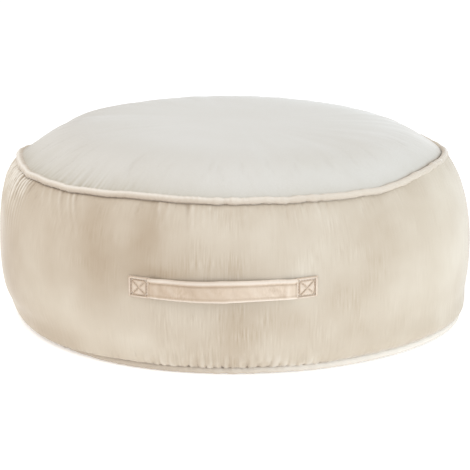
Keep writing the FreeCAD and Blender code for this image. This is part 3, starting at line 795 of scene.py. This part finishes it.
def strap_half(name, side):
    """Half of the padded strap, from the sewn end to the middle: a flattened tube with a rolled top edge.
    Across the strap, v runs from -1 at its lower edge to 1 at its upper edge."""
    length, ring = ((260, 72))
    v = np.linspace(-1, 1, ring // 2)
    front = 1.5 + 2.0 * hill(v, 0.76, 0.17) + 1.1 * hill(v, -0.85, 0.12)
    front = front - 0.8 * hill(v, 0.46, 0.1) - 0.4 * hill(v, -0.62, 0.08)
    back = 1.3 + 0.4 * hill(v, 0.8, 0.2)
    edge = np.sqrt(np.clip(1 - np.abs(v) ** 5, 0, 1))
    depth = np.concatenate([front * edge, -(back * edge)[::-1]])
    is_front = np.repeat([1.0, 0.0], ring // 2)
    x = np.linspace(0, END_IN + 1.5, length) * side
    x, v = np.meshgrid(x, np.concatenate([v, v[::-1]]), indexing="ij")
    hold = smoothstep(np.abs(x), 0, 12)
    crease = strap_creases(x, v) * hold
    depth = depth + crease * is_front * np.sqrt(np.clip(1 - v ** 6, 0, 1)) - strap_lean(x, v)
    half_width = STRAP_WIDTH / 2 * (1 - 0.03 * hold + 0.02 * np.cos(x / 17.0))
    z = STRAP_Z + v * half_width + 0.5 * np.sin(x / 23.0) * hold
    faces = grid_faces(length, ring, closed_columns=True)
    points = on_strap(x, depth, z).reshape(-1, 3)
    obj = new_object(name, points, faces if side > 0 else flipped(faces))
    # painted highlight along the rolled top edge and the lower edge, painted shade in the grooves beside them
    # and in the creases
    painted_shading = 1.1 * hill(v, 0.80, 0.15) - 0.7 * hill(v, 0.48, 0.09)
    painted_shading = painted_shading + 1.1 * hill(v, -0.9, 0.08) - 0.4 * hill(v, -0.68, 0.08)
    mark(obj, "fold", painted_shading + 0.5 * crease)
    # darker towards the left end of the strap, paler towards the right
    mark(obj, "nap_and_painted_light", 0.35 * np.tanh(x / 40))
    return obj


def strap_lean(x, v):
    """How far the strap lies nearer the side than its CAD solid: more at its top edge, and not at its sewn
    ends."""
    return (2.6 * v + 2.6) * (1 - smoothstep(np.abs(x), END_IN - 22, END_IN - 2))


def strap_creases(x, v):
    """Shallow folds along and across the strap. The deepest stands beside the right-hand sewn end."""
    total = 0.28 * np.sin(x / 5.1 + 1.5 * v + np.sin(x / 13.0)) * hill(v, 0.1, 0.7)
    total = total + 0.22 * np.sin(x / 2.6 + 4 * v) * hill(v, -0.2, 0.5)
    right = hill(x, 77, 2.6) * 0.5 - 0.4 * hill(x, 71.5, 2.4)
    left = hill(x, -78, 2.4) * 0.4 - 0.3 * hill(x, -73.5, 2.2)
    ends = -0.7 * hill(np.abs(x), END_IN, 1.6)
    return total + (right + left) * smoothstep(-v, -0.7, -0.3) + ends


def core_half(name, side):
    """Half of the woven band inside the strap."""
    length, half_thick, half_width = 120, 0.4, STRAP_WIDTH / 2 - 2.8
    x = np.linspace(0, END_IN - 1.5, length) * side
    edges = []
    for out, up in ((-1, -1), (1, -1), (1, 1), (-1, 1)):
        lean = strap_lean(x, up * half_width / (STRAP_WIDTH / 2))
        edges.append(on_strap(x, out * half_thick - lean, STRAP_Z + up * half_width))
    faces = grid_faces(length, len(edges), closed_columns=True)
    points = np.stack(edges, 1).reshape(-1, 3)
    return new_object(name, points, faces if side > 0 else flipped(faces), smooth=False)


STITCH_HALF = (END_OUT - END_IN) / 2 - 3.4
STITCH_HALF_Z = STRAP_WIDTH / 2 - 3.6


def on_side(x, z, out):
    """Point that stands out from the front of the side by a few millimetres, on the tilted handle."""
    radius = GREATEST_R + out
    return np.stack([x, -np.sqrt(radius ** 2 - x ** 2), z + HANDLE_TILT * (x + END_OUT)], -1)


def end_height(u, w):
    """Height of a sewn strap end over the side, at u along and w up from its middle."""
    half_u, half_w = (END_OUT - END_IN) / 2, STRAP_WIDTH / 2 - 0.3
    rim = np.maximum(np.abs(u) / half_u, np.abs(w) / half_w)
    corner = (np.abs(u) / half_u) ** 8 + (np.abs(w) / half_w) ** 8
    plate = np.clip(1 - corner, 0, 1) ** 0.4
    # distances from the sewn box, negative inside it, and from the cross in it
    box = np.maximum(np.abs(u) / STITCH_HALF, np.abs(w) / STITCH_HALF_Z)
    from_box = (box - 1) * 0.5 * (STITCH_HALF + STITCH_HALF_Z)
    across, upwards = u / STITCH_HALF, w / STITCH_HALF_Z
    from_cross = np.minimum(np.abs(across - upwards), np.abs(across + upwards)) * STITCH_HALF * 0.7
    inside = smoothstep(-from_box, -0.5, 0.5)
    puff = 1.5 * np.sqrt(np.clip(from_cross / 4, 0, 1)) * np.sqrt(np.clip(-from_box / 3.0, 0, 1)) * inside
    groove = -1.4 * hill(from_box, 0, 0.9) - 1.1 * hill(from_cross, 0, 0.8) * inside
    edge = 1.6 * smoothstep(from_box, 0.3, 1.7) * (1 - smoothstep(rim, 0.9, 1.0) * 0.3)
    return plate * (2.4 + puff * 0.8 + groove + edge - 0.5 * inside)


def strap_end(name, side):
    """Closed quilted pad: the strap's end, folded under and sewn down in a box with a cross."""
    count_u, count_w = ((110, 120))
    # finer steps near the edges
    u = np.sin(np.linspace(-1, 1, count_u) * math.pi / 2) * (END_OUT - END_IN) / 2
    w = np.sin(np.linspace(-1, 1, count_w) * math.pi / 2) * (STRAP_WIDTH / 2 - 0.3)
    u, w = np.meshgrid(u, w, indexing="ij")
    height = end_height(u, w)
    x = side * (END_MIDDLE + u)
    z = STRAP_Z + w + (0.3 * np.sin(u / 6.0) + 0.25 * np.sin(w / 5.0))
    sheets = (on_side(x, z, height + 0.1), on_side(x, z, np.minimum(height, 0.0) - 0.6))
    behind = count_u * count_w    # from a point of the front sheet to the same point of the back one
    front = flipped(grid_faces(count_u, count_w))
    back = grid_faces(count_u, count_w, first=behind)
    index = np.arange(behind).reshape(count_u, count_w)
    border = [*index[:, 0], *index[-1, 1:], *index[-2::-1, -1], *index[0, -2:0:-1]]
    border = [int(k) for k in border]
    walls = [(here, there, there + behind, here + behind)
             for here, there in zip(border, border[1:] + border[:1])]
    faces = front + back + walls
    points = np.concatenate([sheet.reshape(-1, 3) for sheet in sheets])
    obj = new_object(name, points, faces if side > 0 else flipped(faces))
    # painted highlight on the raised rim and puffs, painted shade in the stitched grooves
    painted_shading = np.clip((height - 2.3).ravel() * 0.6, -0.25, 0.9)
    mark(obj, "fold", np.concatenate([painted_shading, painted_shading]))
    return obj


def stitch_mesh(paths, radius=0.42, gap=0.7, length=2.5):
    """Vertices and faces of short thread stitches laid along paths. Each dips into the cloth at its ends."""
    vertices, faces = [], []
    ring, rows = 6, 7
    for path in paths:
        along = distances(path)
        count = max(1, int(along[-1] // (length + gap)))
        pitch = along[-1] / count
        for k in range(count):
            s = np.linspace(k * pitch + gap / 2, (k + 1) * pitch - gap / 2, rows)
            line = np.stack([np.interp(s, along, path[:, c]) for c in range(3)], 1)
            t = np.linspace(-1, 1, rows)
            out = unit(line * (1, 1, 0))
            line = line - out * (0.55 * t ** 4)[:, None]
            way = unit(np.gradient(line, axis=0))
            across = unit(np.cross(way, out))
            up = np.cross(across, way)
            size = radius * (0.55 + 0.45 * (1 - t ** 4))
            first = len(vertices)
            for i in range(rows):
                for j in range(ring):
                    a = 2 * math.pi * j / ring
                    vertices.append(line[i] + size[i] * (math.cos(a) * across[i] + math.sin(a) * up[i]))
            faces += capped_tube(rows, ring, first)
    return vertices, faces


def end_stitches(name, side):
    """Stitches of one sewn end: its box, and then its cross."""
    corners = [(-1, -1), (1, -1), (1, 1), (-1, 1)]
    lines = [(corners[k], corners[(k + 1) % 4]) for k in range(4)]
    lines += [(corners[0], corners[2]), (corners[3], corners[1])]
    paths = []
    for (u0, w0), (u1, w1) in lines:
        t = np.linspace(0, 1, 40)
        u, w = (u0 + (u1 - u0) * t) * STITCH_HALF, (w0 + (w1 - w0) * t) * STITCH_HALF_Z
        paths.append(on_side(side * (END_MIDDLE + u), STRAP_Z + w, end_height(u, w) + 0.25))
    return new_object(name, *stitch_mesh(paths))


# ---- zip ----
def zip_teeth(name, side):
    """Coil of small rounded loops along half of the zip, set half a step from the other half's."""
    pitch, radius = 1.6, 301.9
    start, end = 18.2, 161.8
    count = int(math.radians(end - start) * radius / pitch)
    section = [(0.0, 1.1), (0.75, 0.85), (0.75, -0.85), (0.0, -1.1), (-0.75, -0.85), (-0.75, 0.85)]
    heights, sizes = (-0.75, -0.35, 1.0, 2.4, 2.9), (0.55, 0.8, 0.62, 0.62, 0.3)
    vertices, faces = [], []
    for k in range(count):
        angle = math.radians(start) + (k + (0.0 if side > 0 else 0.5)) * pitch / radius
        c, s = math.cos(angle), math.sin(angle)
        first = len(vertices)
        for height, size in zip(heights, sizes):
            for around_tooth, out in section:
                a = around_tooth * size * 0.85
                r = radius + out * (0.6 + 0.4 * size)
                vertices.append((r * c - a * s, r * s + a * c, WIDEST_Z + side * height))
        tooth = capped_tube(len(heights), len(section), first)
        faces += tooth if side < 0 else flipped(tooth)
    return new_object(name, vertices, faces)


# ---- inside ----
def inner_body(name, behind, lumps):
    """Closed body that follows the cover at a distance behind it, with a lumpy side."""
    columns = 180
    low_corner = (BOTTOM_SEAM_R - 20 - behind, behind + 3)
    outline = np.concatenate([
        bezier(((0, behind), (200, behind), (240, behind), low_corner), 14),
        LOWER_CURVE[::-1][::3] - (behind + 7, 0), UPPER_CURVE[1::3] - (behind + 3, 0),
        TOP_CURVE[::-1][::3] - (0, behind + 3),
    ])
    outline[:, 0] = np.maximum(outline[:, 0], 0)
    outline[:, 1] = np.clip(outline[:, 1], behind, CROWN_Z - behind)
    keep = [0]
    for i in range(1, len(outline)):
        if np.hypot(*(outline[i] - outline[keep[-1]])) > 2.0:
            keep.append(i)
    outline = outline[keep]
    inside = outline[1:-1]
    angle = directions(columns)
    r, z = all_round(inside, columns)
    share = smoothstep(z, 40, 200) * smoothstep(r, 60, 260)
    z = z + share * np.minimum(top_seam_lift(angle), 0) * 1.2
    lump = lumps * waves(60, slant=0.02)(angle, z) * smoothstep(r, 30, 120)
    r = r - np.abs(lump)
    points = xyz(angle, r, z).reshape(-1, 3)
    hub, last_ring = len(points), len(points) - columns
    points = np.concatenate([points, [(0, 0, outline[0, 1]), (0, 0, outline[-1, 1])]])
    faces = grid_faces(len(inside), columns, closed_columns=True)
    faces += fan(hub, 0, columns) + flipped(fan(hub + 1, last_ring, columns))
    return new_object(name, points, faces)


# ---- materials ----
def srgb(r, g, b):
    """A colour from its screen values of 0 to 255."""
    def linear(c):
        c /= 255
        return c / 12.92 if c <= 0.04045 else ((c + 0.055) / 1.055) ** 2.4
    return (linear(r), linear(g), linear(b), 1)


class Nodes:
    """Short way to build a shader."""

    def __init__(self, name):
        self.material = bpy.data.materials.new(name)
        self.material.use_nodes = True
        self.tree = self.material.node_tree
        self.shader = self.tree.nodes["Principled BSDF"]
        self.place = self.add("ShaderNodeTexCoord").outputs["Object"]

    def add(self, kind, **settings):
        node = self.tree.nodes.new(kind)
        for key, value in settings.items():
            setattr(node, key, value)
        return node

    def link(self, source, target):
        self.tree.links.new(source, target)

    def set(self, **values):
        for key, value in values.items():
            self.shader.inputs[key.replace("_", " ")].default_value = value

    def scaled(self, scale):
        node = self.add("ShaderNodeMapping")
        node.inputs["Scale"].default_value = scale
        self.link(self.place, node.inputs["Vector"])
        return node.outputs["Vector"]

    def noise(self, scale, stretch=(1, 1, 1), detail=3.0, rough=0.5):
        node = self.add("ShaderNodeTexNoise")
        node.inputs["Scale"].default_value = scale
        node.inputs["Detail"].default_value = detail
        node.inputs["Roughness"].default_value = rough
        self.link(self.scaled(stretch), node.inputs["Vector"])
        return node.outputs["Fac"]

    def ramp(self, value, low, high, out_low=0.0, out_high=1.0):
        node = self.add("ShaderNodeMapRange")
        for key, number in zip(("From Min", "From Max", "To Min", "To Max"), (low, high, out_low, out_high)):
            node.inputs[key].default_value = number
        self.link(value, node.inputs["Value"])
        return node.outputs["Result"]

    def attribute(self, name):
        return self.add("ShaderNodeAttribute", attribute_name=name).outputs["Fac"]

    def math(self, operation, a, b):
        node = self.add("ShaderNodeMath", operation=operation)
        for socket, value in zip(node.inputs, (a, b)):
            if isinstance(value, (int, float)):
                socket.default_value = value
            else:
                self.link(value, socket)
        return node.outputs[0]

    def weighted(self, start, *terms):
        """A number plus a few values, each times its own weight."""
        total = start
        for value, weight in terms:
            total = self.math("ADD", total, self.math("MULTIPLY", value, weight))
        return total

    def mix(self, factor, a, b):
        node = self.add("ShaderNodeMix", data_type="RGBA")
        for socket, value in zip((node.inputs["Factor"], node.inputs[6], node.inputs[7]), (factor, a, b)):
            if isinstance(value, tuple):
                socket.default_value = value
            else:
                self.link(value, socket)
        return node.outputs[2]

    def colour(self, value):
        self.link(value, self.shader.inputs["Base Color"])

    def bump(self, height, strength, distance):
        node = self.add("ShaderNodeBump")
        node.inputs["Strength"].default_value = strength
        node.inputs["Distance"].default_value = distance
        self.link(height, node.inputs["Height"])
        before = self.shader.inputs["Normal"].links
        if before:
            self.link(before[0].from_socket, node.inputs["Normal"])
        self.link(node.outputs["Normal"], self.shader.inputs["Normal"])


def velvet(name, light, dark, streak, pile=1.0, crush=0.25, folds=0.2, patchy=0.26, sheen=0.8,
           own_place=False):
    """Short-pile velvet: soft sheen, patches where the pile lies another way, fine streaks along it, and
    painted light read from the piece's marks: painted shade in creases and painted highlight on the ridges
    between them. A piece with its own place on the flat cloth has its streaks along that."""
    n = Nodes(name)
    n.set(Roughness=0.9, Specular_IOR_Level=0.15, Sheen_Weight=sheen, Sheen_Roughness=0.3)
    n.shader.inputs["Sheen Tint"].default_value = srgb(255, 253, 250)
    if own_place:
        n.place = n.add("ShaderNodeAttribute", attribute_name="cloth_place").outputs["Vector"]
        long_way = (1, streak, 1)
    else:
        long_way = (1, 1, streak)
    patches = n.ramp(n.noise(9, (1, 1, 0.8), 3, 0.5), 0.36, 0.64, -0.5, 0.5)
    clusters = n.ramp(n.noise(26, (1, 1, 0.7), 3, 0.6), 0.40, 0.66)
    streaks = n.ramp(n.noise(420, long_way, 2, 0.55), 0.34, 0.68, -0.5, 0.5)
    fibres = n.ramp(n.noise(1700, (1, 1, 0.5), 2, 0.6), 0.3, 0.7, -0.5, 0.5)
    if own_place:
        clusters = n.math("MULTIPLY", clusters, n.ramp(n.attribute("crushed"), 0, 1, 0.2, 1.0))
    streaks = n.math("MULTIPLY", streaks, clusters)
    # the pile's tone from the piece's marks, with painted light and shade on some pieces
    nap_and_painted_light = n.attribute("nap_and_painted_light")
    tone = n.weighted(0.5, (patches, patchy), (streaks, crush * 2), (fibres, 0.16), (nap_and_painted_light, 0.42))
    colour = n.mix(tone, dark, light)
    painted_shading = n.math("MULTIPLY", n.attribute("fold"), folds)
    # painted shade deep in a crease, and painted highlight on a ridge
    deep = tuple(share * c for share, c in zip((0.52, 0.44, 0.37), dark[:3])) + (1,)
    pale = tuple(0.35 * c + 0.65 * white for c, white in zip(light[:3], (0.90, 0.86, 0.79))) + (1,)
    colour = n.mix(n.ramp(painted_shading, 0, -1), colour, deep)
    n.colour(n.mix(n.ramp(painted_shading, 0, 1), colour, pale))
    n.link(n.ramp(patches, -0.5, 0.5, 0.95, 0.85), n.shader.inputs["Roughness"])
    n.bump(n.noise(900, (1, 1, 0.6), 3, 0.65), 0.30 * pile, 0.0005)
    n.bump(n.noise(420, long_way, 2, 0.6), 0.12 * pile, 0.0010)
    return n.material


def woven(name, light, dark, size):
    """Plain weave from crossed waves along the three axes."""
    n = Nodes(name)
    n.set(Roughness=0.85, Specular_IOR_Level=0.3)
    heights = []
    for direction in "XYZ":
        wave = n.add("ShaderNodeTexWave", wave_type="BANDS", bands_direction=direction)
        wave.inputs["Scale"].default_value = size
        wave.inputs["Distortion"].default_value = 0.4
        wave.inputs["Detail"].default_value = 1.0
        n.link(n.place, wave.inputs["Vector"])
        heights.append(wave.outputs["Fac"])
    flat = n.math("MAXIMUM", heights[0], heights[1])
    upright = n.math("MAXIMUM", heights[1], heights[2])
    weave = n.math("MULTIPLY", flat, upright)
    stains = n.ramp(n.noise(18), 0.3, 0.7)
    n.colour(n.mix(n.weighted(0.0, (weave, 0.6), (stains, 0.4)), dark, light))
    n.bump(weave, 0.5, 0.0004)
    return n.material


def plain(name, light, dark, grain_size, roughness, metallic=0.0, strength=0.2):
    """Thread, metal, moulded teeth or wadding: a fine mottle in colour and gloss."""
    n = Nodes(name)
    n.set(Roughness=roughness, Metallic=metallic)
    tone = n.ramp(n.noise(grain_size, (1, 1, 1), 4, 0.6), 0.3, 0.7)
    n.colour(n.mix(tone, dark, light))
    gloss = n.ramp(tone, 0, 1, min(1.0, roughness + 0.08), max(0.05, roughness - 0.08))
    n.link(gloss, n.shader.inputs["Roughness"])
    n.bump(n.noise(grain_size * 4, (1, 1, 1), 3, 0.6), strength, 0.0002)
    return n.material


def all_materials():
    """The material of each slot, from its kind, its light and dark colours, and what else it needs."""
    looks = {
        # the top is a paler, greyer copy of the side's velvet: painted light, standing for the sheen of the
        # top where it is seen at a low angle
        "velvet_top": (velvet, (221, 219, 216), (186, 179, 163),
                       dict(streak=0.8, pile=0.7, crush=0.05, folds=0.16, patchy=0.08)),
        "velvet_side": (velvet, (215, 206, 190), (166, 146, 122),
                        dict(streak=0.08, folds=0.3, sheen=0.6, own_place=True)),
        "velvet_piping": (velvet, (211, 200, 185), (191, 177, 159),
                          dict(streak=0.5, pile=0.8, crush=0.1, folds=0.85)),
        "velvet_handle": (velvet, (213, 195, 175), (183, 162, 139), dict(streak=0.4, pile=1.2, folds=0.5)),
        "base_cloth": (woven, (196, 184, 165), (160, 148, 130), dict(size=420)),
        "cord": (woven, (238, 236, 228), (200, 196, 186), dict(size=700)),
        "webbing": (woven, (225, 219, 205), (180, 172, 156), dict(size=500)),
        "thread": (plain, (236, 226, 212), (214, 202, 186), dict(grain_size=900, roughness=0.7)),
        "backing": (woven, (235, 232, 224), (200, 196, 188), dict(size=600)),
        "zip_tape": (woven, (214, 203, 184), (180, 168, 148), dict(size=900)),
        "zip_teeth": (plain, (216, 205, 188), (196, 184, 166),
                      dict(grain_size=300, roughness=0.38, strength=0.05)),
        "zip_metal": (plain, (190, 190, 192), (160, 160, 164),
                      dict(grain_size=260, roughness=0.3, metallic=1.0, strength=0.05)),
        "liner": (woven, (240, 238, 232), (214, 210, 202), dict(size=500)),
        "filling": (plain, (250, 249, 245), (232, 230, 224),
                    dict(grain_size=60, roughness=0.95, strength=0.6)),
    }
    return {slot: make(slot, srgb(*light), srgb(*dark), **more)
            for slot, (make, light, dark, more) in looks.items()}


MATERIALS = all_materials()


# ---- assembly ----
def build_cover():
    """The cover's panels and pipings, and the cords in the pipings."""
    side, top, underside = side_pieces(), top_piece(), bottom_piece()
    for piece in (*side, top, underside):
        thicken(piece)
    for piece, node in zip(side, ("side_band_front", "rear_band_upper", "rear_band_lower")):
        place(piece, "cushion", "velvet_side", node)
    place(top, "cushion", "velvet_top", "top_panel")
    place(underside, "cushion", "base_cloth", "bottom_panel")
    for word in ("top", "bottom"):
        place(piping(f"cover_piping_{word}", word == "top"), "cushion", "velvet_piping", f"{word}_piping")
    for word in ("top", "bottom"):
        cord = cord_in_piping(f"piping_cord_{word}", word == "top")
        place(cord, "cushion", "cord", f"{word}_piping_cord")


def build_handle():
    """The strap, whose halves bend out from their sewn ends to its middle, its core and its sewn ends."""
    for side, word in ((-1, "left"), (1, "right")):
        strap = place(strap_half(f"strap_{word}", side), None, "velvet_handle", "handle_strap")
        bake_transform(strap)
        core = place(core_half(f"strap_core_{word}", side), None, "webbing", "handle_webbing_core")
        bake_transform(core)
        place(strap_end(f"strap_end_{word}", side), "cushion", "velvet_handle", f"handle_end_{word}")
        place(end_stitches(f"strap_stitches_{word}", side), "cushion", "thread", f"handle_stitching_{word}")


def build_zip():
    """The zip's two coils. Its other parts keep their CAD shapes."""
    for side, word in ((1, "upper"), (-1, "lower")):
        place(zip_teeth(f"zip_coil_{word}", side), "cushion", "zip_teeth", f"zip_teeth_{word}")


def build_inside():
    """The inner case and its filling."""
    case = place(inner_body("inner_case", 9, 1.0), "cushion", "liner",
                 "inner_case_top", "inner_case_side", "inner_case_bottom")
    fill = place(inner_body("filling_block", 13, 3.0), "cushion", "filling", "filling")


def keep_cad_nodes():
    """CAD nodes whose shape is right only get a better material."""
    kept = {
        "backing": ("handle_backing_patch_left", "handle_backing_patch_right"),
        "zip_tape": ("zip_tape_upper", "zip_tape_lower"),
        "zip_metal": ("zip_stop_closed", "zip_stop_open", "zip_slider", "zip_pull"),
    }
    for slot, names in kept.items():
        for name in names:
            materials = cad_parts[name].data.materials
            materials.clear()
            materials.append(MATERIALS[slot])


def build_floor():
    """Pale floor that fades into the background."""
    size, low = 12000, -0.3    # just under the cushion
    corners = [(-size, -size, low), (size, -size, low), (size, size, low), (-size, size, low)]
    floor = new_object("floor", corners, [(0, 1, 2, 3)], smooth=False)
    n = Nodes("pale_floor")
    n.set(Roughness=0.9, Specular_IOR_Level=0.1)
    n.colour(n.mix(n.ramp(n.noise(3.0), 0.3, 0.7), srgb(250, 250, 249), srgb(255, 255, 255)))
    # lit a little from below as on a studio table, so that shadows stay faint
    n.set(Emission_Strength=0.34, Emission_Color=(1, 1, 1, 1))
    floor.data.materials.append(n.material)


def area_light(name, location, aim, size, power, colour):
    """Rectangular light, in metres and watts, that shines towards a point."""
    data = bpy.data.lights.new(name, "AREA")
    data.shape = "RECTANGLE"
    data.size, data.size_y = size
    data.energy, data.color = power, colour
    lamp = bpy.data.objects.new(name, data)
    lamp.location = location
    lamp.rotation_euler = (Vector(aim) - Vector(location)).to_track_quat("-Z", "Y").to_euler()
    bpy.context.scene.collection.objects.link(lamp)


def build_lights():
    """Even pale surroundings, and three soft lights."""
    world = bpy.data.worlds.new("studio")
    world.use_nodes = True
    background = world.node_tree.nodes["Background"].inputs
    background["Color"].default_value = (1, 1, 1, 1)
    background["Strength"].default_value = 0.705
    bpy.context.scene.world = world
    area_light("key", (2.8, -1.2, 0.6), (0, 0, 0.1), (0.9, 0.9), 35, (0.83, 1.0, 1.15))
    area_light("overhead", (-1.1, -0.7, 2.2), (-0.08, 0, 0.2), (2.2, 2.2), 28, (0.995, 0.985, 0.995))
    area_light("low_fill", (0.7, -2.8, 0.25), (0, 0, 0.05), (2.4, 0.4), 8, (0.84, 0.95, 1.22))


def build_camera():
    """Camera a little above the cushion, in front of it and slightly to the right."""
    distance, azimuth, elevation = 2.745, math.radians(2.84), math.radians(14.53)
    aim = Vector((0, 0, 0.0976))
    way = Vector((math.sin(azimuth) * math.cos(elevation), -math.cos(azimuth) * math.cos(elevation),
                  math.sin(elevation)))
    data = bpy.data.cameras.new("camera")
    data.lens, data.sensor_width = 161, 36
    camera = bpy.data.objects.new("camera", data)
    camera.location = aim + way * distance
    camera.rotation_euler = (-way).to_track_quat("-Z", "Y").to_euler()
    bpy.context.scene.collection.objects.link(camera)
    bpy.context.scene.camera = camera
    bpy.context.scene.view_settings.view_transform = "Standard"


build_cover()
build_handle()
build_zip()
build_inside()
keep_cad_nodes()
build_floor()
build_lights()
build_camera()

bpy.context.view_layer.update()
